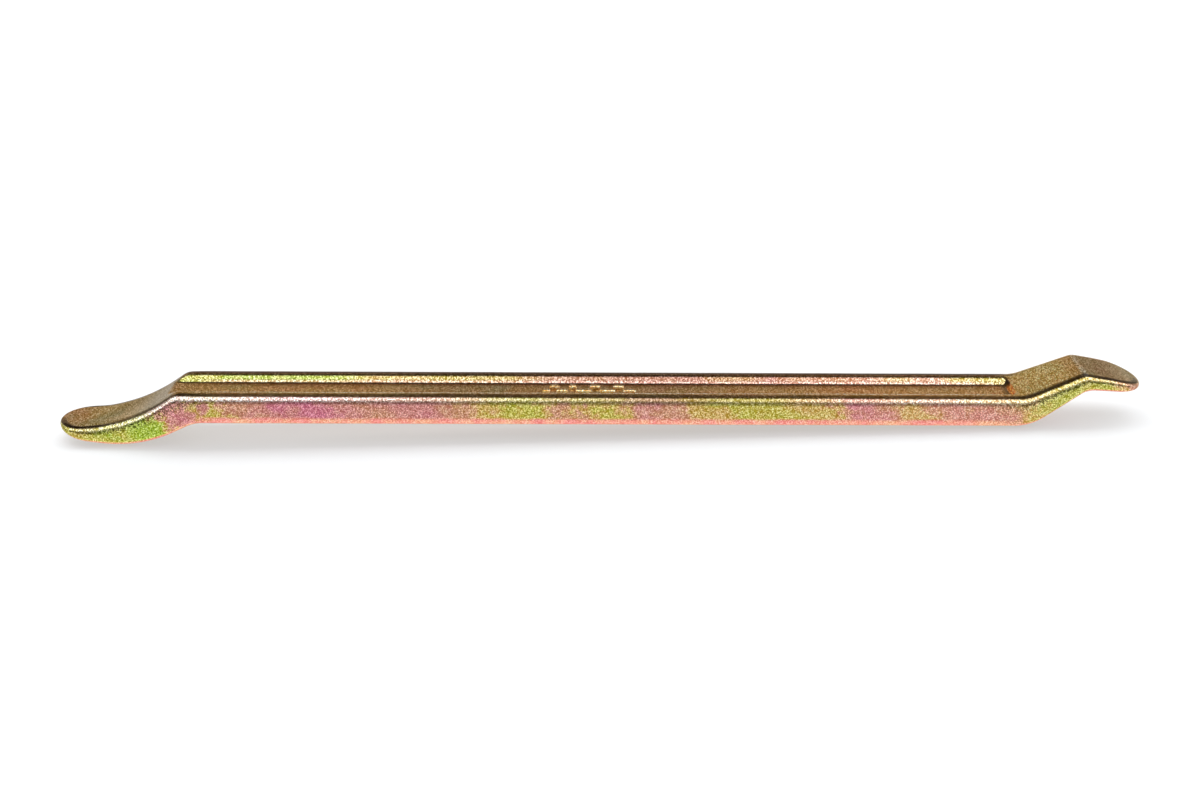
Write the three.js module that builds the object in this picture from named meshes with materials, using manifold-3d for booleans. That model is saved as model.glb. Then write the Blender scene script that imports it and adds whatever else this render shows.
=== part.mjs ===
// A forged tire lever: a dished spoon at one end, a hooked pry tip at the other, an I-section shank between.
// Millimetres, +Z up, +X towards the hook. The lever lies as it rests on a level surface at z = 0, on the
// belly of the spoon and on the knee under the hook. It is one drop forging, divided into its named zones.
import * as THREE from "three";
import { LoftGeometry } from "three/addons/geometries/LoftGeometry.js";
import { mergeVertices } from "three/addons/utils/BufferGeometryUtils.js";
import Module from "manifold-3d";

// Shank
const overallLength = 406;
const shankWidth = 27.4;
const shankThickness = 11.8;
const edgeRadius = 3.5; // long outer edges
const edgeShare = 0.45; // the edge radius is at most this share of the local thickness

// Channel along each broad side of the shank
const channelDepth = 2.3;
const channelWallAngle = 60; // steepest part of the wall, degrees
const railLand = 1.3; // flat crest of a rail, between its edge radius and the channel wall
const wallOverrun = 0.06; // the rounding of the wall runs on this far above the crest, to cut it cleanly
const topChannelSetback = 3.7; // from the foot of the hook's ramp to the channel's end
const underChannelSetback = 8; // from the bends of the underside to the ends of the lower channel
const channelEndRun = 3.2; // length over which a channel runs out at its end

// Spoon, with lengths from its tip and heights from the underside of the shank
const spoonWidth = 23.2;
const spoonTipHeight = -2.2; // top face at the tip
const spoonTipThickness = 3.2;
const spoonTipLift = 8; // rise of the dish at the tip, degrees
const spoonBellyFall = 15; // fall of the belly from the tip, degrees
const spoonRampLength = 46.6; // to the corner where the top leaves the shank
const spoonRampAngle = 34;
const spoonHeelLength = 53; // to the corner where the underside leaves the shank
const spoonHeelAngle = 26.5;
const crestRadius = 12;
const dishRadius = 64;
const heelRadius = 13.5;
const bellyRadius = 50;

// Hook, with lengths from its tip
const hookWidth = 22.8;
const hookTipThickness = 2.2;
const hookRampLength = 44; // to the foot of the ramp
const hookRampAngle = 23;
const ridgeLength = 23.2; // to the ridge between ramp and beak
const beakLength = 11.3; // to the bend in the beak
const beakAngle = 10;
const beakTipAngle = 16.7;
const hookKneeLength = 41.8; // to the knee of the underside
const hookKneeAngle = 35.5;
const beakUndersideAngle = 3.3;
const rampFootRadius = 12;
const ridgeRadius = 7;
const beakRadius = 80;
const kneeRadius = 18.8;
const throatRadius = 8;

// Zones of the forging
const bladeZone = 27; // from the spoon's tip
const beakZone = 21; // from the hook's tip
const bendZone = 9; // a neck runs this far along the shank from its bend
const railFoot = 0.6; // strip of the channel floor that stays with each rail

// Faceting
const edgeSteps = 4;
const tipSteps = 8;
const stationStep = 2.5;
const curveSteps = 24;
const wallSteps = 4;

const plating = { color: 0xb39a62, roughness: 0.34, metalness: 0.9 };

const tan = (degrees) => Math.tan(THREE.MathUtils.degToRad(degrees));
const spoonTip = -overallLength / 2;
const hookTip = overallLength / 2;
const overrun = overallLength / 10; // side lines run past the tips by this much

// The point where a line through a, at slope slopeA, meets a line through b, at slope slopeB.
function meeting(a, slopeA, b, slopeB) {
  const x = (b.y - a.y + slopeA * a.x - slopeB * b.x) / (slopeA - slopeB);
  return new THREE.Vector2(x, a.y + slopeA * (x - a.x));
}

// A line seen from the side, through corners of [point, radius], with every inner corner rounded.
function roundedLine(corners) {
  const line = new THREE.Path();
  line.moveTo(corners[0][0].x, corners[0][0].y);
  for (let i = 1; i < corners.length - 1; i++) {
    const [corner, radius] = corners[i];
    const back = corners[i - 1][0].clone().sub(corner);
    const ahead = corners[i + 1][0].clone().sub(corner);
    const room = 0.8 * Math.min(back.length(), ahead.length());
    const turn = Math.PI - Math.acos(back.normalize().dot(ahead.normalize()));
    const reach = Math.min(radius * Math.tan(turn / 2), room);
    const fitted = reach / Math.tan(turn / 2);
    const middle = back.clone().add(ahead).setLength(Math.hypot(reach, fitted)).add(corner);
    const start = back.clone().multiplyScalar(reach).add(corner);
    const end = ahead.clone().multiplyScalar(reach).add(corner);
    const angleTo = (point) => Math.atan2(point.y - middle.y, point.x - middle.x);
    line.lineTo(start.x, start.y);
    line.absarc(middle.x, middle.y, fitted, angleTo(start), angleTo(end), back.cross(ahead) > 0);
  }
  const last = corners.at(-1)[0];
  line.lineTo(last.x, last.y);
  return line;
}

// The height of a side line at any x.
function heightOn(line) {
  const points = line.getPoints(curveSteps);
  return (x) => {
    const next = points.findIndex((point, i) => i > 0 && point.x >= x);
    const [a, b] = [points[next - 1], points[next]];
    return THREE.MathUtils.lerp(a.y, b.y, (x - a.x) / (b.x - a.x));
  };
}

// Side lines: the top from the spoon's dish to the beak, and the underside from the belly to the throat.
const point = (x, z) => new THREE.Vector2(x, z);
const spoonTop = point(spoonTip, spoonTipHeight);
const spoonUnder = point(spoonTip, spoonTipHeight - spoonTipThickness);
const crest = point(spoonTip + spoonRampLength, shankThickness);
const heel = point(spoonTip + spoonHeelLength, 0);
const rampFoot = point(hookTip - hookRampLength, shankThickness);
const knee = point(hookTip - hookKneeLength, 0);
const ridgeRise = (hookRampLength - ridgeLength) * tan(hookRampAngle);
const ridge = point(hookTip - ridgeLength, shankThickness + ridgeRise);
const beak = point(hookTip - beakLength, ridge.y - (ridgeLength - beakLength) * tan(beakAngle));
const beakTip = point(hookTip, beak.y - beakLength * tan(beakTipAngle));
const beakUnder = point(hookTip, beakTip.y - hookTipThickness);
const topAt = heightOn(
  roundedLine([
    [point(spoonTip - overrun, spoonTop.y + overrun * tan(spoonTipLift))],
    [meeting(spoonTop, -tan(spoonTipLift), crest, tan(spoonRampAngle)), dishRadius],
    [crest, crestRadius],
    [rampFoot, rampFootRadius],
    [ridge, ridgeRadius],
    [beak, beakRadius],
    [point(hookTip + overrun, beakTip.y - overrun * tan(beakTipAngle))],
  ]),
);
const undersideAt = heightOn(
  roundedLine([
    [point(spoonTip - overrun, spoonUnder.y + overrun * tan(spoonBellyFall))],
    [meeting(spoonUnder, -tan(spoonBellyFall), heel, tan(spoonHeelAngle)), bellyRadius],
    [heel, heelRadius],
    [knee, kneeRadius],
    [meeting(knee, tan(hookKneeAngle), beakUnder, -tan(beakUndersideAngle)), throatRadius],
    [point(hookTip + overrun, beakUnder.y - overrun * tan(beakUndersideAngle))],
  ]),
);

// Seen from above: parallel sides on the shank, a taper to each end and a half-round tip.
const shankStart = spoonTip + spoonHeelLength;
const shankEnd = hookTip - hookRampLength;
const spoonCentre = spoonTip + spoonWidth / 2;
const hookCentre = hookTip - hookWidth / 2;
function halfWidthAt(x) {
  const roundTip = (centre, radius) => Math.sqrt(Math.max(0, radius ** 2 - (x - centre) ** 2));
  const taper = (from, to, a, b) => THREE.MathUtils.mapLinear(x, from, to, a / 2, b / 2);
  if (x < spoonCentre) return roundTip(spoonCentre, spoonWidth / 2);
  if (x < shankStart) return taper(spoonCentre, shankStart, spoonWidth, shankWidth);
  if (x < shankEnd) return shankWidth / 2;
  if (x < hookCentre) return taper(shankEnd, hookCentre, shankWidth, hookWidth);
  return roundTip(hookCentre, hookWidth / 2);
}

// How far a point of the plan lies inside the outline.
function insetAt(x, y) {
  if (x < spoonCentre) return Math.max(0, spoonWidth / 2 - Math.hypot(x - spoonCentre, y));
  if (x > hookCentre) return Math.max(0, hookWidth / 2 - Math.hypot(x - hookCentre, y));
  return halfWidthAt(x) - Math.abs(y);
}

// The section of the blank at x: a bar with four rounded corners, which turn the rim of each tip as well.
function blankSection(x) {
  const half = halfWidthAt(x);
  const top = topAt(x);
  const underside = undersideAt(x);
  const radius = Math.min(edgeRadius, edgeShare * (top - underside));
  const across = Math.min(radius, half);
  const ring = [];
  const corner = (side, level, sign) => (step) => {
    const y = half - across * (1 - Math.cos((step / edgeSteps) * (Math.PI / 2)));
    const rest = radius - Math.min(radius, insetAt(x, y));
    ring.push(new THREE.Vector3(x, side * y, level - sign * (radius - Math.sqrt(radius ** 2 - rest ** 2))));
  };
  const rising = Array.from({ length: edgeSteps + 1 }, (_, step) => step);
  const falling = rising.toReversed();
  rising.forEach(corner(1, top, 1));
  falling.forEach(corner(-1, top, 1));
  rising.forEach(corner(-1, underside, -1));
  falling.forEach(corner(1, underside, -1));
  return ring;
}

// Places of the blank's sections: close together at the ends, none along the plain shank.
function stations() {
  const places = [];
  const round = (centre, radius, from, to) => {
    for (let step = 0; step <= tipSteps; step++) {
      const angle = THREE.MathUtils.lerp(from, to, step / tipSteps);
      places.push(centre - radius * Math.cos(angle));
    }
  };
  const run = (from, to) => {
    const steps = Math.ceil((to - from) / stationStep);
    for (let step = 1; step < steps; step++) places.push(THREE.MathUtils.lerp(from, to, step / steps));
  };
  const plainStart = shankStart + heelRadius / 2;
  const plainEnd = shankEnd - rampFootRadius / 3;
  round(spoonCentre, spoonWidth / 2, 0, Math.PI / 2);
  run(spoonCentre, plainStart);
  places.push(plainStart, plainEnd);
  run(plainEnd, hookCentre);
  round(hookCentre, hookWidth / 2, Math.PI / 2, Math.PI);
  return places;
}

// The wall of a channel is two equal arcs, out of the floor and into the crest of the rail.
const wallAngle = THREE.MathUtils.degToRad(channelWallAngle);
const wallHeight = channelDepth + wallOverrun;
const wallRadius = wallHeight / (2 * (1 - Math.cos(wallAngle)));
const wallRun = 2 * wallRadius * Math.sin(wallAngle);
const floorHalf = shankWidth / 2 - edgeRadius - railLand - wallRun;

// The section of what a channel takes away at x, lifted by rise, with its open side far above the rails.
function channelSection(x, rise) {
  const wall = new THREE.Path();
  wall.absarc(floorHalf, wallRadius, wallRadius, -Math.PI / 2, wallAngle - Math.PI / 2, false);
  const crestArc = [floorHalf + wallRun, wallHeight - wallRadius, wallRadius];
  wall.absarc(...crestArc, wallAngle + Math.PI / 2, Math.PI / 2, true);
  wall.lineTo(floorHalf + wallRun, 4 * shankThickness);
  const right = wall.getPoints(wallSteps);
  const left = right.toReversed().map((p) => point(-p.x, p.y));
  const floor = shankThickness - channelDepth + rise;
  return [...right, ...left].map((p) => new THREE.Vector3(x, p.x, floor + p.y));
}

// What a channel takes away from start to end. It runs out over channelEndRun at each end that isn't open.
function channelCore(start, end, openStart) {
  const easing = Array.from({ length: wallSteps + 1 }, (_, step) => step / wallSteps);
  const runOut = (t) => wallHeight * THREE.MathUtils.smoothstep(t, 0, 1);
  const first = openStart ? [1] : easing;
  const cuts = [
    ...first.map((t) => channelSection(start + t * channelEndRun, runOut(1 - t))),
    ...easing.map((t) => channelSection(end - (1 - t) * channelEndRun, runOut(t))),
  ];
  return new LoftGeometry(cuts, { capStart: true, capEnd: true });
}

// The lever lies on the lowest point of each half, with the middle of its box over the origin.
function restingPlace(points) {
  let slope = 0;
  for (let pass = 0; pass < 4; pass++) {
    const lower = (a, b) => (b.z - slope * b.x < a.z - slope * a.x ? b : a);
    const left = points.filter((p) => p.x < 0).reduce(lower);
    const right = points.filter((p) => p.x > 0).reduce(lower);
    slope = (right.z - left.z) / (right.x - left.x);
  }
  const place = new THREE.Matrix4().makeRotationY(Math.atan(slope));
  const box = new THREE.Box3().setFromPoints(points.map((p) => p.clone().applyMatrix4(place)));
  return place.setPosition(-(box.min.x + box.max.x) / 2, 0, -box.min.z);
}

const wasm = await Module();
wasm.setup();

// A closed geometry as a solid, without the triangles that close up to nothing at the tips.
function solid(geometry) {
  const bare = new THREE.BufferGeometry();
  bare.setAttribute("position", geometry.getAttribute("position"));
  bare.setIndex(geometry.index);
  const merged = mergeVertices(bare);
  const triVerts = [];
  for (let i = 0; i < merged.index.count; i += 3) {
    const [a, b, c] = merged.index.array.subarray(i, i + 3);
    if (a !== b && b !== c && c !== a) triVerts.push(a, b, c);
  }
  return new wasm.Manifold(
    new wasm.Mesh({
      numProp: 3,
      vertProperties: merged.attributes.position.array,
      triVerts: new Uint32Array(triVerts),
    }),
  );
}

const sections = stations().map(blankSection);
const place = restingPlace(sections.flat());
const topCore = channelCore(spoonTip - overrun, rampFoot.x - topChannelSetback, true);
const underCore = channelCore(underChannelSetback - knee.x, -heel.x - underChannelSetback, false);
underCore.rotateY(Math.PI).translate(0, 0, shankThickness);
const forging = solid(new LoftGeometry(sections).applyMatrix4(place))
  .subtract(solid(topCore.applyMatrix4(place)))
  .subtract(solid(underCore.applyMatrix4(place)));

// A zone is what the forging holds in a block of space.
const far = 2 * overallLength;
function zone(name, fromX, toX, fromY, toY) {
  const block = new THREE.BoxGeometry(toX - fromX, toY - fromY, far);
  block.translate((fromX + toX) / 2, (fromY + toY) / 2, 0);
  const cut = forging.intersect(solid(block)).getMesh();
  const geometry = new THREE.BufferGeometry();
  geometry.setAttribute("position", new THREE.BufferAttribute(cut.vertProperties, 3));
  geometry.setIndex(new THREE.BufferAttribute(cut.triVerts, 1));
  geometry.computeVertexNormals();
  const mesh = new THREE.Mesh(geometry, new THREE.MeshStandardMaterial(plating));
  mesh.name = name;
  return mesh;
}

const lever = new THREE.Group();
lever.name = "tire_lever";
const shankFrom = heel.x + bendZone;
const shankTo = rampFoot.x - bendZone;
const webHalf = floorHalf - railFoot;
lever.add(
  zone("spoon_blade", -far, spoonTip + bladeZone, -far, far),
  zone("spoon_neck", spoonTip + bladeZone, shankFrom, -far, far),
  zone("front_rail", shankFrom, shankTo, -far, -webHalf),
  zone("shank_web", shankFrom, shankTo, -webHalf, webHalf),
  zone("rear_rail", shankFrom, shankTo, webHalf, far),
  zone("hook_ramp", shankTo, hookTip - beakZone, -far, far),
  zone("hook_beak", hookTip - beakZone, far, -far, far),
);

export default lever;
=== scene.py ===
import math
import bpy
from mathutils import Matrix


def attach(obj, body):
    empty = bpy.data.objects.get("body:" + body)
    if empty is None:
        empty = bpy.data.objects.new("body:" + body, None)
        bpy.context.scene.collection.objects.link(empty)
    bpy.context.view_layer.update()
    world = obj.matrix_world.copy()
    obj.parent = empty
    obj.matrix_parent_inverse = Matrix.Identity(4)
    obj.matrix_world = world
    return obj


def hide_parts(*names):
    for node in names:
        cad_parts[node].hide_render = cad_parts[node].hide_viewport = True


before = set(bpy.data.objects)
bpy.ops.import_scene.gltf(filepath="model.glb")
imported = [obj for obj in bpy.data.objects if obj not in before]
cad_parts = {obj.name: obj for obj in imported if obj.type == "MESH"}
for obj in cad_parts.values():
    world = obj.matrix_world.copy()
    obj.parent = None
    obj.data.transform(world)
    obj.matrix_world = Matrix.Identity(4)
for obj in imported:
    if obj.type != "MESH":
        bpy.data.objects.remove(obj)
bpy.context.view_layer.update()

from types import SimpleNamespace

import bmesh
import bpy
from mathutils import Matrix, Vector, noise

print("frame loaded:", len(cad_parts), "nodes")

mm = 0.001  # one millimetre, in metres


# Shader maths: a wire is one output socket, and Python operators on it add Math nodes.
class Wire:
    def __init__(self, tree, socket=None):
        self.tree = tree
        self.socket = socket

    def node(self, kind, settings=None, inputs=None, output=0):
        made = self.tree.nodes.new(kind)
        for name, value in (settings or {}).items():
            if name == "stops":
                fillRamp(made.color_ramp, value)
            else:
                setattr(made, name, value)
        for name, value in (inputs or {}).items():
            if isinstance(value, Wire):
                self.tree.links.new(value.socket, made.inputs[name])
            else:
                made.inputs[name].default_value = value
        return Wire(self.tree, made.outputs[output] if made.outputs else None)

    def maths(self, operation, *values):
        return self.node("ShaderNodeMath", {"operation": operation}, dict(enumerate(values)))

    def __add__(self, other):
        return self.maths("ADD", self, other)

    def __radd__(self, other):
        return self.maths("ADD", other, self)

    def __sub__(self, other):
        return self.maths("SUBTRACT", self, other)

    def __rsub__(self, other):
        return self.maths("SUBTRACT", other, self)

    def __mul__(self, other):
        return self.maths("MULTIPLY", self, other)

    def __rmul__(self, other):
        return self.maths("MULTIPLY", other, self)

    def __neg__(self):
        return 0 - self

    def __abs__(self):
        return self.maths("ABSOLUTE", self)

    def step(self, low, high):  # smooth 0 to 1 as the value goes from low to high
        inputs = {"Value": self, "From Min": low, "From Max": high}
        return self.node("ShaderNodeMapRange", {"interpolation_type": "SMOOTHSTEP"}, inputs)

    def within(self, rising, falling):  # 1 between two steps
        return self.step(*rising) * (1 - self.step(*falling))

    def sway(self, size):  # noise from 0 to 1, taken about its middle
        return (self - 0.5) * size

    def ramp(self, stops, interpolation="EASE"):
        made = self.node("ShaderNodeValToRGB", {"stops": stops}, {"Fac": self})
        made.socket.node.color_ramp.interpolation = interpolation
        return made

    def mix(self, first, second):  # colours, with this wire as the factor
        return self.node("ShaderNodeMix", {"data_type": "RGBA"}, {0: self, 6: first, 7: second}, 2)


def fillRamp(ramp, stops):
    while len(ramp.elements) < len(stops):
        ramp.elements.new(1.0)
    for element, (place, colour) in zip(ramp.elements, stops):
        element.position = place
        element.color = colour if isinstance(colour, tuple) else (colour, colour, colour, 1.0)


def tint(red, green, blue):  # a colour written in 0 to 255, as it looks on a screen
    def linear(c):
        c = c / 255
        return c / 12.92 if c <= 0.04045 else ((c + 0.055) / 1.055) ** 2.4
    return (linear(red), linear(green), linear(blue), 1.0)


def newMaterial(name):
    made = bpy.data.materials.new(name)
    made.use_nodes = True
    made.node_tree.nodes.clear()
    return made, Wire(made.node_tree)


# The lever, in millimetres and degrees as it lies on its own underside, and then tilted to its rest.
lever = {
    "length": 406.0,
    "width": 27.4,
    "thickness": 11.8,
    "edgeRadius": 3.2,        # outer edges, below the crown
    "crownRadius": 8.7,       # the soft crown from which each edge falls away
    "crownAngle": 17.0,
    "edgeShare": 0.46,        # most of a thin tip's thickness that one edge may take
    "channelDepth": 2.3,
    "wallAngle": 50.0,
    "railCrown": 3.0,         # soft crown from which the channel wall falls away
    "railCrownAngle": 14.0,
    "crestRound": 4.2,        # channel wall, where it comes over the rail
    "footRound": 2.2,         # and where it meets the web
    "topSetback": 2.7,        # channel end to ramp foot
    "underSetback": 8.0,
    "topRunOut": 2.0,
    "underRunOut": 4.0,
    "railBlend": 0.5,         # rounding where the spoon's slope cuts the rails
    "spoonWidth": 23.2,
    "spoonTipHeight": -2.2,
    "spoonTipThickness": 3.2,
    "spoonTipLift": 8.0,
    "spoonBellyFall": 15.0,
    "spoonRampLength": 46.6,
    "spoonRampAngle": 34.0,
    "spoonHeelLength": 53.0,
    "spoonHeelAngle": 26.5,
    "crestRadius": 6.0,
    "dishRadius": 64.0,
    "heelRadius": 13.5,
    "bellyRadius": 50.0,
    "spoonDish": 0.5,         # hollow across the spoon
    "spoonDishRun": (0.0, 14.0, 18.0, 44.0),  # from the tip: where it starts, is full, fades and ends
    "hookWidth": 22.8,
    "hookTipThickness": 2.2,
    "hookRampLength": 44.0,
    "hookRampAngle": 23.0,
    "ridgeLength": 23.2,
    "beakLength": 11.3,
    "beakAngle": 10.0,
    "beakTipAngle": 16.7,
    "hookKneeLength": 41.8,
    "hookKneeAngle": 35.5,
    "beakUndersideAngle": 3.3,
    "rampFootRadius": 12.0,
    "ridgeRadius": 4.0,
    "beakRadius": 80.0,
    "kneeRadius": 18.8,
    "throatRadius": 8.0,
    "waviness": 0.03,         # hammered unevenness of the forged skin
    "wavinessLength": 14.0,
    "wavinessFine": (0.4, 2.6),  # share and fineness of a second, finer one
}

tipEnd = lever["length"] / 2
spoonTip, hookTip = -tipEnd, tipEnd


def slope(degrees):
    return math.tan(math.radians(degrees))


def meeting(a, slopeA, b, slopeB):  # where two sloping lines cross
    x = (b[1] - a[1] + slopeA * a[0] - slopeB * b[0]) / (slopeA - slopeB)
    return (x, a[1] + slopeA * (x - a[0]))


def roundedLine(corners):  # height along a side line whose inner corners (x, z, radius) are arcs
    points = [Vector(c[:2]) for c in corners]
    arcs = []
    for i in range(1, len(corners) - 1):
        back = (points[i - 1] - points[i]).normalized()
        ahead = (points[i + 1] - points[i]).normalized()
        turn = math.pi - back.angle(ahead)
        radius = corners[i][2]
        reach = radius * math.tan(turn / 2)
        middle = points[i] + (back + ahead).normalized() * math.hypot(reach, radius)
        side = 1.0 if middle.y < points[i].y else -1.0
        arcs.append((points[i] + back * reach, points[i] + ahead * reach, middle, radius, side))

    def height(x):
        before = points[0]
        for start, end, middle, radius, side in arcs:
            if x < start.x:
                return before.y + (start.y - before.y) * (x - before.x) / (start.x - before.x)
            if x <= end.x:
                return middle.y + side * math.sqrt(max(0.0, radius ** 2 - (x - middle.x) ** 2))
            before = end
        after = points[-1]
        return before.y + (after.y - before.y) * (x - before.x) / (after.x - before.x)
    return height


def sideLines(d):
    over = d["length"] / 10  # side lines run past the tips
    spoonTop = (spoonTip, d["spoonTipHeight"])
    spoonUnder = (spoonTip, d["spoonTipHeight"] - d["spoonTipThickness"])
    crest = (spoonTip + d["spoonRampLength"], d["thickness"])
    heel = (spoonTip + d["spoonHeelLength"], 0.0)
    foot = (hookTip - d["hookRampLength"], d["thickness"])
    knee = (hookTip - d["hookKneeLength"], 0.0)
    rampRun = d["hookRampLength"] - d["ridgeLength"]
    ridge = (hookTip - d["ridgeLength"], foot[1] + rampRun * slope(d["hookRampAngle"]))
    beakRun = d["ridgeLength"] - d["beakLength"]
    beak = (hookTip - d["beakLength"], ridge[1] - beakRun * slope(d["beakAngle"]))
    beakTip = (hookTip, beak[1] - d["beakLength"] * slope(d["beakTipAngle"]))
    beakUnder = (hookTip, beakTip[1] - d["hookTipThickness"])
    dish = meeting(spoonTop, -slope(d["spoonTipLift"]), crest, slope(d["spoonRampAngle"]))
    belly = meeting(spoonUnder, -slope(d["spoonBellyFall"]), heel, slope(d["spoonHeelAngle"]))
    throat = meeting(knee, slope(d["hookKneeAngle"]), beakUnder, -slope(d["beakUndersideAngle"]))
    top = roundedLine([
        (spoonTip - over, spoonTop[1] + over * slope(d["spoonTipLift"])),
        (*dish, d["dishRadius"]),
        (*crest, d["crestRadius"]),
        (*foot, d["rampFootRadius"]),
        (*ridge, d["ridgeRadius"]),
        (*beak, d["beakRadius"]),
        (hookTip + over, beakTip[1] - over * slope(d["beakTipAngle"])),
    ])
    under = roundedLine([
        (spoonTip - over, spoonUnder[1] + over * slope(d["spoonBellyFall"])),
        (*belly, d["bellyRadius"]),
        (*heel, d["heelRadius"]),
        (*knee, d["kneeRadius"]),
        (*throat, d["throatRadius"]),
        (hookTip + over, beakUnder[1] - over * slope(d["beakUndersideAngle"])),
    ])
    return top, under


topAt, underAt = sideLines(lever)
shankStart = spoonTip + lever["spoonHeelLength"]
shankEnd = hookTip - lever["hookRampLength"]
spoonRound = lever["spoonWidth"] / 2
hookRound = lever["hookWidth"] / 2
spoonCentre = spoonTip + spoonRound
hookCentre = hookTip - hookRound


def between(x, fromX, toX, fromValue, toValue):
    return fromValue + (toValue - fromValue) * (x - fromX) / (toX - fromX)


def smoothStep(x, low, high):
    t = min(1.0, max(0.0, (x - low) / (high - low)))
    return t * t * (3 - 2 * t)


def halfWidthAt(x):
    half = lever["width"] / 2
    if x < spoonCentre:
        return math.sqrt(max(0.0, spoonRound ** 2 - (x - spoonCentre) ** 2))
    if x < shankStart:
        return between(x, spoonCentre, shankStart, spoonRound, half)
    if x < shankEnd:
        return half
    if x < hookCentre:
        return between(x, shankEnd, hookCentre, half, hookRound)
    return math.sqrt(max(0.0, hookRound ** 2 - (x - hookCentre) ** 2))


def insetAt(x, y):  # distance inside the outline seen from above
    if x < spoonCentre:
        return max(0.0, spoonRound - math.hypot(x - spoonCentre, y))
    if x > hookCentre:
        return max(0.0, hookRound - math.hypot(x - hookCentre, y))
    return max(0.0, halfWidthAt(x) - abs(y))


crownTurn = math.radians(lever["crownAngle"])
crownRun = lever["crownRadius"] * math.sin(crownTurn)
crownFall = lever["crownRadius"] * (1 - math.cos(crownTurn))
edgeRun = lever["edgeRadius"] * (1 - math.sin(crownTurn))
edgeFall = lever["edgeRadius"] * math.cos(crownTurn)
edgeReach = edgeRun + crownRun
edgeDepth = edgeFall + crownFall


def edgeDrop(inset, scale):  # fall of the rounded edge below the face, by the distance inside the outline
    d = inset / scale
    if d >= edgeReach:
        return 0.0
    if d >= edgeRun:
        out = edgeReach - d
        return scale * (lever["crownRadius"] - math.sqrt(lever["crownRadius"] ** 2 - out ** 2))
    sine = 1 - d / lever["edgeRadius"]
    cosine = math.sqrt(max(0.0, 1 - sine ** 2))
    return scale * (crownFall + edgeFall - lever["edgeRadius"] * cosine)


wallTurn = math.radians(lever["wallAngle"])
railTurn = math.radians(lever["railCrownAngle"])
crestY = lever["width"] / 2 - edgeReach
railRun = lever["railCrown"] * math.sin(railTurn)
railFall = lever["railCrown"] * (1 - math.cos(railTurn))
crestRun = railRun + lever["crestRound"] * (math.sin(wallTurn) - math.sin(railTurn))
crestFall = railFall + lever["crestRound"] * (math.cos(railTurn) - math.cos(wallTurn))
footRun = lever["footRound"] * math.sin(wallTurn)
footRise = lever["footRound"] * (1 - math.cos(wallTurn))
wallRun = (lever["channelDepth"] - crestFall - footRise) / math.tan(wallTurn)
floorHalf = crestY - crestRun - wallRun - footRun


def channelAt(y):  # depth of the channel below the crests of the rails
    out = crestY - abs(y)
    if out <= 0:
        return 0.0
    if out <= railRun:
        return lever["railCrown"] - math.sqrt(lever["railCrown"] ** 2 - out ** 2)
    if out <= crestRun:
        sine = math.sin(railTurn) + (out - railRun) / lever["crestRound"]
        return railFall + lever["crestRound"] * (math.cos(railTurn) - math.sqrt(1 - sine ** 2))
    if out <= crestRun + wallRun:
        return crestFall + (out - crestRun) * math.tan(wallTurn)
    up = max(0.0, abs(y) - floorHalf)
    return lever["channelDepth"] - lever["footRound"] + math.sqrt(lever["footRound"] ** 2 - up ** 2)


def softMin(a, b, blend):
    if blend <= 0:
        return min(a, b)
    h = max(0.0, blend - abs(a - b)) / blend
    return min(a, b) - h * h * blend / 4


# Where the points of a half ring lie: degrees round the edge, then shares of each stretch towards the middle.
ringSteps = {
    "edge": (90, 80, 70, 60, 50, 40, 30, 23, 17),
    "crown": (0.33, 0.66, 1.0),
    "rail": (0.33, 0.66, 1.0),
    "crest": (0.22, 0.44, 0.64, 0.83, 1.0),
    "foot": (0.0, 0.2, 0.45, 0.72, 1.0),
    "floor": (0.25, 0.5, 0.75),
}


def ringPlaces(d):
    edge = [1 - math.sin(math.radians(a)) for a in d["edge"]]
    outer = [edgeRun * e / (1 - math.sin(crownTurn)) for e in edge]
    outer += [edgeRun + crownRun * s for s in d["crown"]]
    inner = [railRun * s for s in d["rail"]]
    inner += [railRun + (crestRun - railRun) * s for s in d["crest"]]
    inner += [crestRun + wallRun + footRun * s for s in d["foot"]]
    inner += [crestRun + wallRun + footRun + floorHalf * s for s in d["floor"]]
    return outer, inner


outerPlaces, innerPlaces = ringPlaces(ringSteps)
channelEnd = shankEnd - lever["topSetback"]
underStart = shankStart + lever["underSetback"]
underEnd = hookTip - lever["hookKneeLength"] - lever["underSetback"]


def topHeight(x, y, scale):
    face = topAt(x)
    start, full, fade, end = (spoonTip + run for run in lever["spoonDishRun"])
    dished = smoothStep(x, start, full) * (1 - smoothStep(x, fade, end))
    half = max(1e-6, halfWidthAt(x))
    blank = face - edgeDrop(insetAt(x, y), scale)
    blank -= lever["spoonDish"] * dished * max(0.0, 1 - (y / half) ** 2) ** 2
    runOut = 1 - smoothStep(x, channelEnd - lever["topRunOut"], channelEnd)
    channel = lever["thickness"] - channelAt(y) * runOut
    if x > 0:
        return blank - channelAt(y) * runOut
    fallen = lever["thickness"] - face
    return softMin(blank, channel, min(2 * lever["railBlend"], 2 * fallen))


def underHeight(x, y, scale):
    blank = underAt(x) + edgeDrop(insetAt(x, y), scale)
    run = smoothStep(x, underStart, underStart + lever["underRunOut"])
    run *= 1 - smoothStep(x, underEnd - lever["underRunOut"], underEnd)
    return blank + channelAt(y) * run


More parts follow.
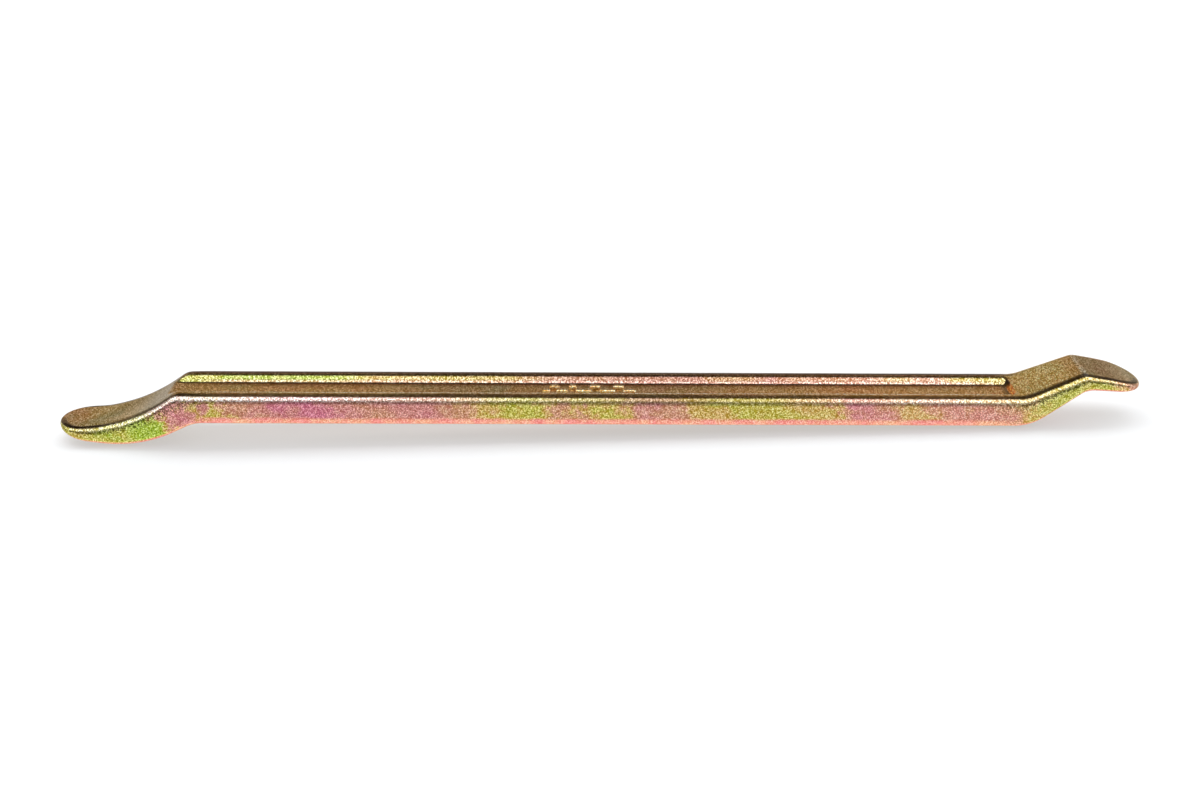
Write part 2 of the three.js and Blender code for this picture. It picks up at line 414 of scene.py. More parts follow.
def sectionAt(x):  # ring of (y, z) round the lever at x, from the +Y side over the top
    half = halfWidthAt(x)
    scale = min(1.0, lever["edgeShare"] * (topAt(x) - underAt(x)) / edgeDepth)
    across = min(edgeReach * scale, half)
    rest = half - across
    ys = [half - across * p / edgeReach for p in outerPlaces]
    ys += [rest * (1 - p / crestY) for p in innerPlaces]
    side = ys + [0.0] + [-y for y in reversed(ys)]
    top = [(y, topHeight(x, y, scale)) for y in side]
    under = [(y, underHeight(x, y, scale)) for y in reversed(side)]
    mid = [(top[-1][1] + under[0][1]) / 2, (top[0][1] + under[-1][1]) / 2]
    return top + [(side[-1], mid[0])] + under + [(side[0], mid[1])]


tipAngles = [math.radians(a) for a in range(0, 91, 4)]  # of the rings round each half-round tip
ringPitches = [               # x from which the rings follow at a pitch, and that pitch
    (spoonCentre, 0.9), (spoonTip + 34, 0.6), (shankStart + 8, 1.3), (channelEnd - 6, 0.26),
    (channelEnd + 1, 0.7), (hookTip - 24, 0.35), (hookTip - 19, 0.6), (hookCentre, 1.0),
]


def stationList():
    places = [spoonCentre - spoonRound * math.cos(a) for a in tipAngles]
    for (start, pitch), (end, _) in zip(ringPitches, ringPitches[1:]):
        count = math.ceil((end - start) / pitch)
        first = 1 if start == spoonCentre else 0  # the tip's last ring is already there
        places += [between(i, 0, count, start, end) for i in range(first, count)]
    places += [hookCentre + hookRound * math.sin(a) for a in tipAngles]
    return places


def leverMesh():
    mesh = bmesh.new()
    rise = mesh.verts.layers.float.new("rise")  # 0 on the underside to 1 on the top, for the film
    stations = stationList()
    first = sectionAt(stations[0])
    bmesh.ops.create_circle(mesh, segments=len(first), radius=1.0)
    ring = list(mesh.verts)
    loop = list(mesh.edges)
    for i, x in enumerate(stations):
        if i:
            grown = bmesh.ops.extrude_edge_only(mesh, edges=loop)["geom"]
            follow = [v for v in grown if isinstance(v, bmesh.types.BMVert)]
            loop = [e for e in grown if isinstance(e, bmesh.types.BMEdge)]
            newEdges = set(loop)
            grownFrom = {}
            for vert in follow:
                spoke = next(e for e in vert.link_edges if e not in newEdges)
                grownFrom[spoke.other_vert(vert)] = vert
            ring = [grownFrom[v] for v in ring]
        for vert, (y, z) in zip(ring, sectionAt(x)):
            vert.co = (x, y, z)
            vert[rise] = (z - underAt(x)) / (topAt(x) - underAt(x))
    bmesh.ops.remove_doubles(mesh, verts=mesh.verts, dist=1e-4)
    bmesh.ops.dissolve_degenerate(mesh, edges=mesh.edges, dist=1e-5)
    bmesh.ops.recalc_face_normals(mesh, faces=mesh.faces)
    return mesh


def roughen(mesh):  # the uneven skin of a forging
    mesh.normal_update()
    pitch = lever["wavinessLength"]
    share, fineness = lever["wavinessFine"]
    apart = Vector((7, 3, 1))  # so that the two don't line up
    moves = []
    for vert in mesh.verts:
        lift = noise.noise(vert.co / pitch) + share * noise.noise(vert.co * fineness / pitch + apart)
        moves.append(vert.normal * lift * lever["waviness"])
    for vert, move in zip(mesh.verts, moves):
        vert.co += move


def restPlace(points):  # tilt about Y so that both halves touch the floor, and centre the box
    rise = 0.0
    for _ in range(4):
        left = min((p for p in points if p.x < 0), key=lambda p: p.z - rise * p.x)
        right = min((p for p in points if p.x > 0), key=lambda p: p.z - rise * p.x)
        rise = (right.z - left.z) / (right.x - left.x)
    turn = Matrix.Rotation(math.atan(rise), 4, "Y")
    turned = [turn @ p for p in points]
    xs = [p.x for p in turned]
    lift = -min(p.z for p in turned)
    return Matrix.Translation((-(min(xs) + max(xs)) / 2, 0, lift)) @ turn


def finishObject(mesh, name, material):
    data = bpy.data.meshes.new(name)
    mesh.to_mesh(data)
    mesh.free()
    data.polygons.foreach_set("use_smooth", [True] * len(data.polygons))
    data.materials.append(material)
    made = bpy.data.objects.new(name, data)
    bpy.context.scene.collection.objects.link(made)
    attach(made, "root")
    return made


# Yellow passivated zinc: a film whose colour runs from green through gold and rose to magenta, with painted
# shade, highlights and reflections laid over it in places.
# Pairs are where a mask goes from 0 to 1: metres along x or y, shares of the height, or parts of the normal.
plating = {
    "film": [
        (0.00, tint(172, 194, 56)), (0.22, tint(196, 188, 82)), (0.42, tint(208, 176, 104)),
        (0.58, tint(208, 156, 126)), (0.78, tint(207, 142, 134)), (1.00, tint(210, 128, 146)),
    ],
    "filmRuns": [             # along the front, x in mm and the film's shade there
        (-198, 0.24), (-182, 0.08), (-168, 0.04), (-160, 0.74), (-151, 0.86), (-141, 0.34), (-133, 0.68),
        (-105, 0.94), (-86, 0.66), (-62, 0.80), (-44, 0.52), (-28, 0.20), (-13, 0.55), (0, 0.24),
        (20, 0.74), (38, 0.42), (50, 0.22), (68, 0.24), (82, 0.34), (96, 0.92), (116, 0.42),
        (136, 0.78), (150, 0.54), (158, 0.40), (166, 0.08), (174, 0.03), (186, 0.12), (199, 0.62),
    ],
    "wallRuns": [             # along the far wall of the channel
        (-150, 0.16), (-128, 0.04), (-98, 0.06), (-84, 0.34), (-60, 0.28), (-38, 0.36), (-22, 0.66),
        (6, 0.70), (30, 0.78), (52, 0.56), (66, 0.82), (84, 0.62), (98, 0.66), (112, 0.36), (126, 0.64),
        (140, 0.16),
    ],
    "topRuns": [              # along the upper faces
        (-200, tint(196, 140, 100)), (-186, tint(212, 184, 122)), (-176, tint(180, 162, 112)),
        (-166, tint(182, 160, 108)), (-158, tint(188, 144, 88)), (-145, tint(208, 160, 95)),
        (-95, tint(204, 156, 94)), (-50, tint(146, 116, 86)), (-20, tint(160, 112, 66)),
        (4, tint(150, 108, 68)), (22, tint(158, 128, 96)), (62, tint(206, 154, 96)),
        (104, tint(234, 164, 98)), (150, tint(226, 164, 98)), (158, tint(234, 202, 122)),
        (173, tint(238, 202, 124)), (178, tint(212, 164, 100)), (182, tint(168, 146, 110)),
        (202, tint(158, 138, 106)),
    ],
    "topPatches": [(0.2, tint(204, 132, 80)), (0.5, tint(206, 162, 96)), (0.8, tint(180, 166, 112))],
    "topShare": 0.5,          # of those patches over the runs
    "topMask": {"sideways": (0.2, 0.5), "up": (0.3, 0.6)},
    "edgeRuns": [             # thin and worn film along the rounded edges
        (-200, tint(222, 212, 156)), (-178, tint(226, 216, 176)), (-158, tint(244, 232, 220)),
        (-105, tint(240, 214, 208)), (-60, tint(214, 186, 168)), (-20, tint(176, 170, 128)),
        (30, tint(150, 132, 100)), (60, tint(172, 158, 110)), (95, tint(214, 176, 156)),
        (120, tint(236, 208, 190)), (150, tint(236, 212, 170)), (175, tint(226, 204, 150)),
        (200, tint(224, 180, 150)),
    ],
    "edgeMask": {"up": (0.40, 0.64), "sideways": (0.25, 0.5)},
    "edgeShare": 0.75,
    "wallShare": (0.16, 0.40),   # of the same on the far wall, towards the spoon and towards the hook
    "wallShareRun": (-0.11, -0.03),
    "farWall": {"y": (0.002, 0.004), "forward": (0.15, 0.35)},
    # painted shade: share by which the far wall's film is darkened
    "wallDim": 0.20,
    "span": 0.4,              # length that the runs are laid over
    "rear": (-0.003, 0.003),
    "rearRuns": (1.9, 0.02),  # on the rear side the runs are turned round and moved
    "shank": ((-0.155, -0.138), (0.142, 0.160)),
    "runWander": 0.009,       # how far the runs stray
    "wallWander": 0.009,
    "topWander": 0.006,
    "edgeWander": 0.02,
    "fringeWander": 0.036,
    "lean": (0.4, 1.1),       # slant of the runs on the shank, and what the spoon adds
    "leanEnds": (-0.165, -0.145),
    "leanHeight": 0.012,
    "shadeMottle": {"blotch": 0.6, "grain": 0.06},
    "topMottle": {"blotch": 1.1, "smear": 0.9, "grain": 0.5},
    "pale": {"tint": tint(248, 186, 154), "x": (0.03, 0.13), "share": 0.24},  # thin film towards the hook
    "rim": {                  # along the lower edge
        "film": [(0.3, tint(246, 146, 142)), (0.7, tint(248, 180, 144))],
        "rise": (0.25, 0.37), "down": (0.30, 0.70), "ragged": 0.10, "grain": 0.6,
    },
    # painted shade: a darker tint on the spoon's back-facing slope
    "ramp": {"tint": tint(112, 104, 86), "back": (0.28, 0.50), "x": (-0.150, -0.140), "share": 0.75},
    "webPaintedShade": {"tint": tint(96, 64, 38), "y": (-0.0010, 0.0046), "share": 0.35},  # painted shade, darker towards the far wall's foot
    "foot": {                 # painted reflection: an orange-brown line along the foot of the far wall
        "tint": tint(182, 102, 44), "inset": 0.0004, "spread": (0.0001, 0.0006), "share": 0.75,
    },
    # painted shade: darker film over the downward faces
    "under": {"tint": tint(176, 146, 106), "down": (0.7, 0.95)},
    "nearLine": {             # painted dark reflection: a dark line along the near edge of the spoon and the hook
        "tint": tint(76, 56, 42), "forward": ((0.08, 0.16), (0.24, 0.33)), "up": (0.5, 0.7),
        "near": (0.004, 0.006), "share": 0.7,
    },
    "tipLine": {              # the same painted dark reflection round the tips, by the distance inside the outline
        "tint": tint(76, 56, 42), "inset": (0.0030, 0.0021), "near": (0.0, 0.004), "up": (0.75, 0.88),
        "out": (0.181, 0.187), "share": 0.75,
    },
    "speck": {                # painted dark reflection: dark specks below the worn edge of the spoon and the hook
        "tint": tint(82, 70, 36), "rise": (0.54, 0.74), "up": (0.42, 0.56), "forward": (0.5, 0.7),
        "fleck": (0.35, 0.60), "share": 0.75,
    },
    "crest": {                # painted dark reflection along the rear crest
        "tint": tint(92, 60, 50), "y": (0.0080, 0.0088), "across": ((-0.06, 0.02), (0.40, 0.65)),
        "up": (0.3, 0.6), "x": (0.150, 0.165),
    },
    "lipHighlight": {                  # painted highlight: a pale line on the lip of the near rail, over the channel
        "tint": tint(255, 230, 200), "near": (0.0070, 0.0076), "across": (-0.01, 0.05), "up": (0.7, 0.85),
        "share": 0.85,
    },
    "wallFoot": {"tint": tint(255, 206, 192), "y": (0.0054, 0.0064), "share": 0.6},  # painted highlight: paler, low on the wall
    "endReflection": {                 # painted reflection and shade at the closed end of the channel: orange at the front, dark at the rear
        "front": tint(255, 156, 60), "rear": tint(72, 50, 36), "near": (-0.0035, 0.0),
        "x": (0.10, 0.12), "up": (0.1, 0.3), "steep": (0.54, 0.70),
    },
    "endPaintedShade": {              # painted shade on the web before it, by the distance to that end
        "before": ((0.0050, 0.0020), (0.0010, 0.0004)), "y": ((-0.0074, -0.0062), (0.0040, 0.0056)),
        "share": 0.65,
    },
    "ridge": {                # pale line on the hook's ridge
        "tint": tint(218, 204, 180), "half": 0.0009, "soft": (0.4, 1.6), "ragged": 0.0006,
        "up": (0.9, 0.95), "blotch": (0.34, 0.66), "share": 0.6,
    },
    "mark": {"tint": tint(255, 210, 156), "rise": (1.2, 1.8), "share": 0.85},  # peach film on the raised marks, partly a painted highlight
    "clouds": {               # noise: scale, detail, roughness, shift
        "blotch": (90, 3.0, 0.6, 0.07), "smear": (38, 2.0, 0.5, 0.19), "fringe": (170, 4.0, 0.7, 0.31),
    },
    "grain": 0.00030,         # size of a grain
    "grainDetail": (1.5, 0.6),
    "grainStretch": 0.55,     # grains are this much longer across the lever
    "grainDepth": 0.00010,
    "grainRelief": {"all": 0.5, "top": 0.05, "rim": 0.25, "edge": 0.6},  # shares of that depth
    "grainContrast": 1.60,
    "grainMean": 0.33,        # of a squared random number
    "grainWhite": 0.62,       # share of the sparkle that is colourless
    "rimCalm": 0.4,           # less sparkle on the rim
    "darkest": (0.01, 0.01, 0.01),
    "roughness": (0.09, 0.25),
    "metallic": 0.94,
    "specularTint": (0.80, 0.75, 0.66, 1.0),
}


def surfaceWires(w):  # what the film is worked out from: place, normal, height and noise
    d = plating
    place = w.node("ShaderNodeTexCoord", output="Object")
    facing = w.node("ShaderNodeNewGeometry", output="Normal")
    s = SimpleNamespace()
    s.x, s.y, s.z = (w.node("ShaderNodeSeparateXYZ", inputs={0: place}, output=i) for i in range(3))
    s.ahead, s.across, s.up = (w.node("ShaderNodeSeparateXYZ", inputs={0: facing}, output=i) for i in range(3))
    s.rise = w.node("ShaderNodeAttribute", {"attribute_name": "rise"}, output="Fac")
    s.near, s.down, s.forward = -s.y, -s.up, -s.across
    s.sideways = abs(s.across)

    drawn = (1.0, d["grainStretch"], 1.0)
    grained = w.node("ShaderNodeVectorMath", {"operation": "MULTIPLY"}, {0: place, 1: drawn})
    fine = 1 / d["grain"]
    detail, rough = d["grainDetail"]
    inputs = {"Vector": grained, "Scale": fine, "Detail": detail, "Roughness": rough}
    s.grain = w.node("ShaderNodeTexNoise", {}, inputs)
    cells = w.node("ShaderNodeTexVoronoi", {}, {"Vector": grained, "Scale": fine}, "Color")
    s.fleck = w.node("ShaderNodeSeparateColor", {}, {0: cells})
    s.facet = w.node("ShaderNodeSeparateColor", {}, {0: cells}, 1)
    for name, (scale, detail, rough, shift) in d["clouds"].items():
        moved = w.node("ShaderNodeVectorMath", {"operation": "ADD"}, {0: place, 1: (shift, shift, shift)})
        inputs = {"Vector": moved, "Scale": scale, "Detail": detail, "Roughness": rough}
        setattr(s, name, w.node("ShaderNodeTexNoise", {}, inputs))

    s.shank = s.x.within(*d["shank"])
    s.farWall = s.y.step(*d["farWall"]["y"]) * s.forward.step(*d["farWall"]["forward"])
    s.topMask = (1 - s.sideways.step(*d["topMask"]["sideways"])) * s.up.step(*d["topMask"]["up"])
    s.edgeMask = s.up.step(*d["edgeMask"]["up"]) * s.sideways.step(*d["edgeMask"]["sideways"])
    low = 1 - (s.rise + s.blotch.sway(d["rim"]["ragged"])).step(*d["rim"]["rise"])
    s.rimMask = low * s.shank + (1 - s.shank) * s.down.step(*d["rim"]["down"])
    return s


def runsAlong(place, stops):  # a ramp along the lever, with stops in mm
    span = plating["span"]
    return (place * (1 / span) + 0.5).ramp([(0.5 + x * mm / span, value) for x, value in stops])


def sideFilm(s):
    d = plating
    rear = s.y.step(*d["rear"])
    turned, moved = d["rearRuns"]
    along = s.x * (1 - turned * rear) + moved * rear
    shankLean, spoonLean = d["lean"]
    lean = shankLean + spoonLean * (1 - s.x.step(*d["leanEnds"]))
    along = along + s.smear.sway(2 * d["runWander"]) + (s.z - d["leanHeight"]) * lean
    shade = runsAlong(along + s.fringe.sway(d["fringeWander"]), d["filmRuns"])
    wallShade = runsAlong(s.x + s.smear.sway(d["wallWander"]), d["wallRuns"])
    shade = shade + (wallShade - shade) * s.farWall
    shade = shade + s.blotch.sway(d["shadeMottle"]["blotch"]) + s.grain.sway(d["shadeMottle"]["grain"])
    pale = d["pale"]
    return (s.x.step(*pale["x"]) * pale["share"]).mix(shade.ramp(d["film"]), pale["tint"])


def topFilm(s):
    d = plating
    mottle, ramp, web, foot = d["topMottle"], d["ramp"], d["webPaintedShade"], d["foot"]
    mottled = s.blotch.sway(mottle["blotch"]) + s.smear.sway(mottle["smear"]) + s.grain.sway(mottle["grain"])
    patches = (mottled + 0.5).ramp(d["topPatches"])
    runs = runsAlong(s.x + s.smear.sway(d["topWander"]), d["topRuns"])
    film = runs.node("ShaderNodeMix", {"data_type": "RGBA"}, {0: d["topShare"], 6: runs, 7: patches}, 2)
    # painted shade on the spoon's back-facing slope
    sloping = (-s.ahead).step(*ramp["back"]) * (1 - s.x.step(*ramp["x"]))
    film = (sloping * ramp["share"]).mix(film, ramp["tint"])
    # painted shade: the web darker towards the far wall's foot
    film = (s.y.step(*web["y"]) * s.shank * web["share"]).mix(film, web["tint"])
    # painted reflection: orange-brown line along the foot of the far wall
    fromFoot = abs(s.y - mm * floorHalf + foot["inset"])
    footMask = 1 - fromFoot.step(*foot["spread"])
    return (footMask * s.shank * foot["share"]).mix(film, foot["tint"])


def baseFilm(s):
    d = plating
    colour = s.topMask.mix(sideFilm(s), topFilm(s))
    rimFilm = (s.blotch + s.grain.sway(d["rim"]["grain"])).ramp(d["rim"]["film"])
    colour = s.rimMask.mix(colour, rimFilm)
    edgeFilm = runsAlong(s.x + s.smear.sway(d["edgeWander"]), d["edgeRuns"])
    spoonWear, hookWear = d["wallShare"]
    wallWear = spoonWear + (hookWear - spoonWear) * s.x.step(*d["wallShareRun"])
    wear = d["edgeShare"] + (wallWear - d["edgeShare"]) * s.farWall
    colour = (s.edgeMask * wear).mix(colour, edgeFilm)
    # painted shade: darker film on the downward faces
    return s.down.step(*d["under"]["down"]).mix(colour, d["under"]["tint"])


def endLines(s, colour):  # painted dark lines and specks, standing in for dark reflections, along the edges of the spoon and the hook
    line, tip, speck = plating["nearLine"], plating["tipLine"], plating["speck"]
    # painted dark reflection along the near edge
    mask = s.forward.within(*line["forward"]) * s.up.step(*line["up"]) * (1 - s.shank)
    colour = (mask * s.near.step(*line["near"]) * line["share"]).mix(colour, line["tint"])
    # painted dark reflection round the tips
    soft, full = tip["inset"]
    for radius, beyond, out in ((hookRound * mm, s.x - hookX, s.x), (spoonRound * mm, spoonX - s.x, -s.x)):
        past = beyond.maths("MAXIMUM", beyond, 0.0)
        reach = past.maths("SQRT", past * past + s.y * s.y)
        mask = reach.step(radius - soft, radius - full) * s.near.step(*tip["near"])
        mask = mask * s.up.step(*tip["up"]) * out.step(*tip["out"])
        colour = (mask * tip["share"]).mix(colour, tip["tint"])
    # painted dark reflection: specks below the edge highlight
    mask = s.rise.step(*speck["rise"]) * (1 - s.up.step(*speck["up"])) * s.forward.step(*speck["forward"])
    mask = mask * (1 - s.shank) * (1 - s.fleck).step(*speck["fleck"])
    return (mask * speck["share"]).mix(colour, speck["tint"])


def channelLines(s, colour):  # painted shade, highlights and reflections: crests, lip and foot along the channel, and its closed end
    crest, lipHighlight, foot = plating["crest"], plating["lipHighlight"], plating["wallFoot"]
    endPaintedShade, endReflection = plating["endPaintedShade"], plating["endReflection"]
    # painted dark reflection along the rear crest
    mask = s.y.step(*crest["y"]) * s.across.within(*crest["across"]) * s.up.step(*crest["up"])
    colour = (mask * (1 - s.x.step(*crest["x"]))).mix(colour, crest["tint"])
    # painted highlight along the near rail's lip
    mask = s.near.step(*lipHighlight["near"]) * s.across.step(*lipHighlight["across"]) * s.up.step(*lipHighlight["up"]) * s.shank
    colour = (mask * lipHighlight["share"]).mix(colour, lipHighlight["tint"])
    # painted highlight low on the far wall
    mask = s.farWall * s.shank * (1 - s.y.step(*foot["y"]))
    colour = (mask * foot["share"]).mix(colour, foot["tint"])
    # painted shade before the channel's closed end
    before = [tuple(channelX - run for run in pair) for pair in endPaintedShade["before"]]
    mask = s.x.within(*before) * s.y.within(*endPaintedShade["y"])
    colour = (mask * endPaintedShade["share"]).mix(colour, endReflection["rear"])
    # painted reflection and shade on the channel's closed end
    steep = (-s.ahead) * s.x.step(*endReflection["x"]) * s.up.step(*endReflection["up"])
    endReflectionTint = s.near.step(*endReflection["near"]).mix(endReflection["rear"], endReflection["front"])
    return steep.step(*endReflection["steep"]).mix(colour, endReflectionTint)


def paleRidgeAndMarks(s, colour):  # the pale line on the hook's ridge, and the raised marks' peach film with its painted highlight
    ridge, mark = plating["ridge"], plating["mark"]
    fromRidge = abs(s.x - ridgeX + s.grain.sway(ridge["ragged"]))
    line = 1 - fromRidge.step(*(ridge["half"] * soft for soft in ridge["soft"]))
    mask = line * s.up.step(*ridge["up"]) * s.blotch.step(*ridge["blotch"])
    colour = (mask * ridge["share"]).mix(colour, ridge["tint"])
    # peach on the marks, partly a painted highlight
    return (s.rise.step(*mark["rise"]) * mark["share"]).mix(colour, mark["tint"])


def sparkled(w, s, colour):  # each grain lighter or darker than the film
    d = plating
    white = d["grainWhite"]
    sparkle = (s.fleck * s.fleck - d["grainMean"]) * d["grainContrast"] * (1 - d["rimCalm"] * s.rimMask)
    # the far wall darkened as painted shade
    own = (1 + (1 - white) * sparkle) * (1 - d["wallDim"] * s.farWall)
    grey = colour * sparkle * white
    colour = w.node("ShaderNodeVectorMath", {"operation": "MULTIPLY_ADD"}, {0: colour, 1: own, 2: grey})
    return w.node("ShaderNodeVectorMath", {"operation": "MAXIMUM"}, {0: colour, 1: d["darkest"]})


def platingMaterial():
    d = plating
    material, w = newMaterial("yellow_zinc")
    s = surfaceWires(w)
    colour = channelLines(s, endLines(s, baseFilm(s)))
    colour = sparkled(w, s, paleRidgeAndMarks(s, colour))
    smooth, rough = d["roughness"]
    relief = d["grainRelief"]
    depth = relief["all"] - relief["top"] * s.topMask - relief["rim"] * s.rimMask
    depth = depth + relief["edge"] * s.edgeMask * (1 - s.farWall)
    bump = w.node("ShaderNodeBump", {}, {
        "Strength": 1.0, "Distance": d["grainDepth"], "Height": s.grain * depth,
    })
    shader = w.node("ShaderNodeBsdfPrincipled", {}, {
        "Base Color": colour, "Roughness": smooth + (rough - smooth) * s.facet, "Metallic": d["metallic"],
        "Normal": bump, "Specular Tint": d["specularTint"],
    })
    w.node("ShaderNodeOutputMaterial", {}, {"Surface": shader})
    return material


body = leverMesh()
roughen(body)
restMatrix = restPlace([v.co.copy() for v in body.verts])
toMetres = Matrix.Scale(mm, 4) @ restMatrix


def restX(x):  # where a point on the top line comes to lie along the lever, in metres
    return (toMetres @ Vector((x, 0, topAt(x)))).x


ridgeX = restX(hookTip - lever["ridgeLength"])
channelX = restX(channelEnd)
hookX = restX(hookCentre)
spoonX = restX(spoonCentre)
yellowZinc = platingMaterial()
print("material ready:", yellowZinc.name)
bmesh.ops.transform(body, matrix=toMetres, verts=body.verts)
forging = finishObject(body, "lever_forging", yellowZinc)
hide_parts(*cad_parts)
print("lever modelled:", len(forging.data.polygons), "faces")

# Raised marks in the channel: two rows of plain rounded dashes.
marks = {
    "rows": [                 # y of a row, then x and length of each dash, in mm
        (-2.5, [(-19.5, 3.4), (-13.6, 4.8), (-5.6, 6.4), (3.4, 6.4), (11.6, 5.2)]),
        (1.3, [(-16.6, 4.2), (-9.6, 3.4), (-1.2, 4.4), (7.6, 4.4)]),
    ],
    "width": 2.2,
    "height": 1.2,
    "sink": 0.9,
    "edge": 1.0,
    "edgeSegments": 4,
    "rise": 2.0,              # over 1 marks them for their own film
}


def markMesh(d):
    mesh = bmesh.new()
    rise = mesh.verts.layers.float.new("rise")
    middle = lever["thickness"] - lever["channelDepth"] + (d["height"] - d["sink"]) / 2
    for y, dashes in d["rows"]:
        for x, length in dashes:
            size = Matrix.Diagonal((length, d["width"], d["height"] + d["sink"], 1.0))
            bmesh.ops.create_cube(mesh, size=1.0, matrix=Matrix.Translation((x, y, middle)) @ size)
    bmesh.ops.bevel(
        mesh, geom=mesh.edges, offset=d["edge"], segments=d["edgeSegments"], profile=0.5,
        affect="EDGES", material=-1,
    )
    for vert in mesh.verts:
        vert[rise] = d["rise"]
    return mesh


markBody = markMesh(marks)
bmesh.ops.transform(markBody, matrix=toMetres, verts=markBody.verts)
webMarks = finishObject(markBody, "web_marks", yellowZinc)
print("marks modelled:", len(webMarks.data.polygons), "faces")


# Studio: a white table, a softbox that only mirrored rays see, three lamps that only the diffuse ones see,
# and a dim room with pale walls.
studio = {
    "floorSize": 40.0,
    "floorTint": tint(158, 160, 162),
    "floorFarTint": (0.06, 0.06, 0.06, 1.0),
    "floorRoughness": 0.9,
    "floorSpecular": 0.1,
    "fibre": {"scale": 60.0, "detail": 3.0, "dark": 0.985, "stops": (0.3, 0.7)},
    "glow": (0.47, 0.96),     # light from the table itself, by the lever and far from it
    "glowReach": (0.20, 0.75),
    "lamps": {
        "softbox": {"size": (16.0, 1.9), "place": (0.0, -0.35, 2.4), "radiance": 1.8, "shines": "glossy"},
        "back_lamp": {"size": (16.0, 1.8), "place": (0.0, 1.02, 2.28), "radiance": 3.25, "shines": "diffuse"},
        "low_lamp": {"size": (14.0, 0.5), "place": (0.0, 2.4, 0.78), "radiance": 8.0, "shines": "diffuse"},
        "fill_lamp": {"size": (4.0, 4.0), "place": (0.0, 0.0, 3.0), "radiance": 1.1, "shines": "diffuse"},
    },
    "roomLight": 0.03,
    "farSide": (-0.2, 0.3),   # y of the way that is looked, from the near wall to the far one
    "horizon": (0.0, 0.02),
    "wallStops": [            # far wall: sine of the elevation, light
        (0.0, 1.0), (0.06, 0.96), (0.13, 0.34), (0.20, 0.29), (0.32, 0.35), (0.42, 0.48), (0.50, 0.68),
        (0.55, 0.08), (0.60, 0.0),
    ],
    "nearStops": [            # near wall
        (0.0, 1.0), (0.06, 0.96), (0.10, 0.42), (0.50, 0.36), (0.70, 0.28), (0.80, 0.17), (0.88, 0.10),
        (0.94, 0.0),
    ],
    "tableStops": [(0.0, 0.92), (0.55, 0.92), (0.80, 1.12)],  # the table as it is mirrored: sine of depression
}


def makeFloor(d):
    mesh = bmesh.new()
    bmesh.ops.create_grid(mesh, x_segments=2, y_segments=2, size=d["floorSize"] / 2)
    data = bpy.data.meshes.new("floor")
    mesh.to_mesh(data)
    mesh.free()
    made = bpy.data.objects.new("floor", data)
    bpy.context.scene.collection.objects.link(made)
    material, w = newMaterial("table_white")
    place = w.node("ShaderNodeTexCoord", output="Object")
    fibre = d["fibre"]
    inputs = {"Vector": place, "Scale": fibre["scale"], "Detail": fibre["detail"]}
    red, green, blue, _ = (c * fibre["dark"] for c in d["floorTint"])
    shades = ((red, green, blue, 1.0), d["floorTint"])
    colour = w.node("ShaderNodeTexNoise", {}, inputs).ramp(list(zip(fibre["stops"], shades)))
    reach = w.node("ShaderNodeVectorMath", {"operation": "LENGTH"}, {0: place}, "Value")
    away = reach.step(*d["glowReach"])
    near, far = d["glow"]
    glow = away.ramp([(0.0, near), (1.0, far)], "LINEAR")
    shader = w.node("ShaderNodeBsdfPrincipled", {}, {
        "Base Color": away.mix(colour, d["floorFarTint"]), "Roughness": d["floorRoughness"],
        "Specular IOR Level": d["floorSpecular"], "Emission Color": glow, "Emission Strength": 1.0,
    })
    w.node("ShaderNodeOutputMaterial", {}, {"Surface": shader})
    data.materials.append(material)
    made.visible_glossy = False  # the lever mirrors an even table, free of its own shadow


def makeLamp(name, d):
    width, depth = d["size"]
    lamp = bpy.data.lights.new(name, "AREA")
    lamp.shape = "RECTANGLE"
    lamp.size = width
    lamp.size_y = depth
    lamp.energy = d["radiance"] * math.pi * width * depth
    made = bpy.data.objects.new(name, lamp)
    made.location = d["place"]
    made.rotation_euler = (-Vector(d["place"])).to_track_quat("-Z", "Y").to_euler()
    made.visible_glossy = d["shines"] == "glossy"
    made.visible_diffuse = d["shines"] == "diffuse"
    bpy.context.scene.collection.objects.link(made)


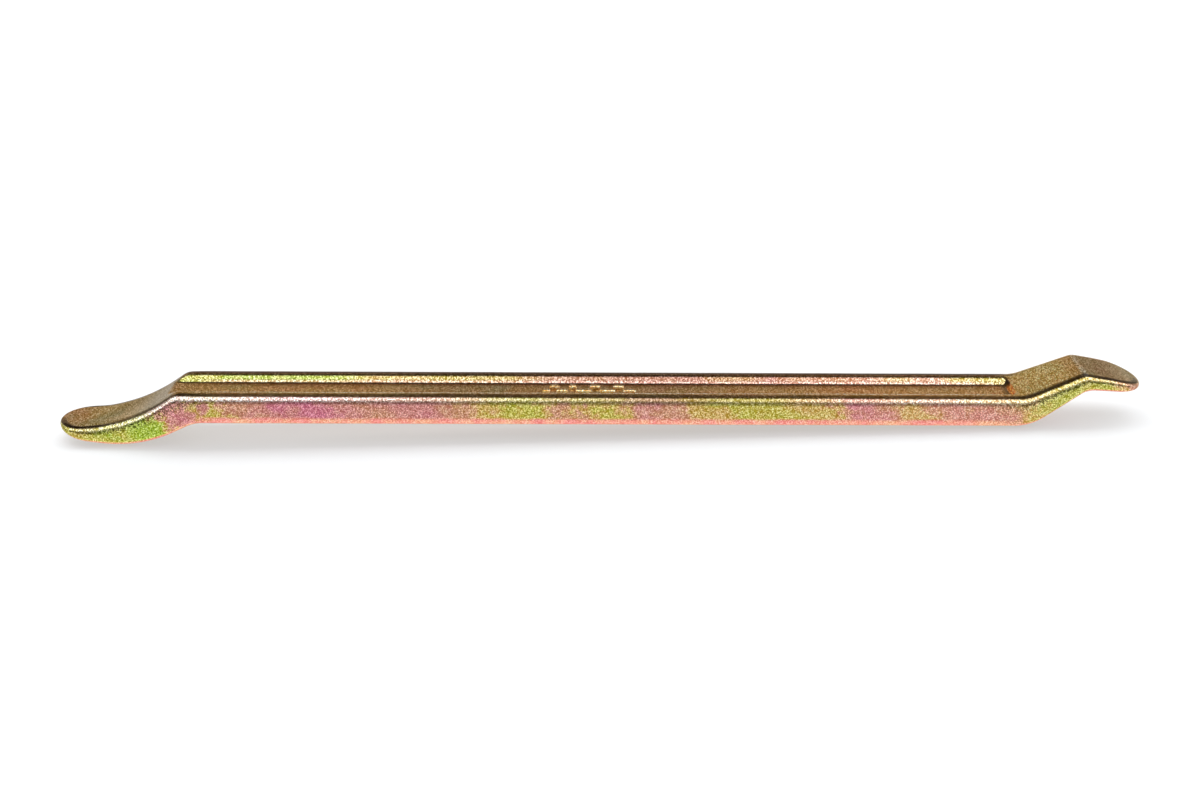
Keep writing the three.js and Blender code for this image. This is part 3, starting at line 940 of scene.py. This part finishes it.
def makeRoom(d):
    world = bpy.data.worlds.new("studio_room")
    world.use_nodes = True
    world.node_tree.nodes.clear()
    w = Wire(world.node_tree)
    way = w.node("ShaderNodeTexCoord", output="Generated")
    y = w.node("ShaderNodeSeparateXYZ", inputs={0: way}, output=1)
    z = w.node("ShaderNodeSeparateXYZ", inputs={0: way}, output=2)
    far = y.step(*d["farSide"])
    wall = z.ramp(d["wallStops"], "LINEAR")
    front = z.ramp(d["nearStops"], "LINEAR")
    room = d["roomLight"] + far * wall + (1 - far) * front
    table = (-z).ramp(d["tableStops"], "LINEAR")
    level = room + (table - room) * (-z).step(*d["horizon"])
    back = w.node("ShaderNodeBackground", {}, {"Color": level, "Strength": 1.0})
    w.node("ShaderNodeOutputWorld", {}, {"Surface": back})
    bpy.context.scene.world = world


makeFloor(studio)
for lampName, lampSettings in studio["lamps"].items():
    makeLamp(lampName, lampSettings)
makeRoom(studio)
print("studio set")

camera = {                    # degrees, metres and millimetres of lens
    "elevation": 25.0,
    "distance": 0.550,
    "focal": 43.68,
    "sensor": 36.0,
    "clipStart": 0.01,
    "roll": -1.28,
    "aim": (0.00062, 0.0, 0.00948),
}


def makeCamera(d):
    lens = bpy.data.cameras.new("camera")
    lens.sensor_fit = "HORIZONTAL"
    lens.sensor_width = d["sensor"]
    lens.lens = d["focal"]
    lens.clip_start = d["clipStart"]
    made = bpy.data.objects.new("camera", lens)
    e, r = math.radians(d["elevation"]), math.radians(d["roll"])
    ahead = Vector((0, math.cos(e), -math.sin(e)))
    right, up = Vector((1, 0, 0)), Vector((0, math.sin(e), math.cos(e)))
    across = right * math.cos(r) + up * math.sin(r)
    upright = up * math.cos(r) - right * math.sin(r)
    stand = Vector(d["aim"]) - ahead * d["distance"]
    turn = Matrix((across, upright, -ahead)).transposed().to_4x4()
    made.matrix_world = Matrix.Translation(stand) @ turn
    bpy.context.scene.collection.objects.link(made)
    bpy.context.scene.camera = made


makeCamera(camera)
bpy.context.scene.view_settings.view_transform = "Standard"
print("camera set")
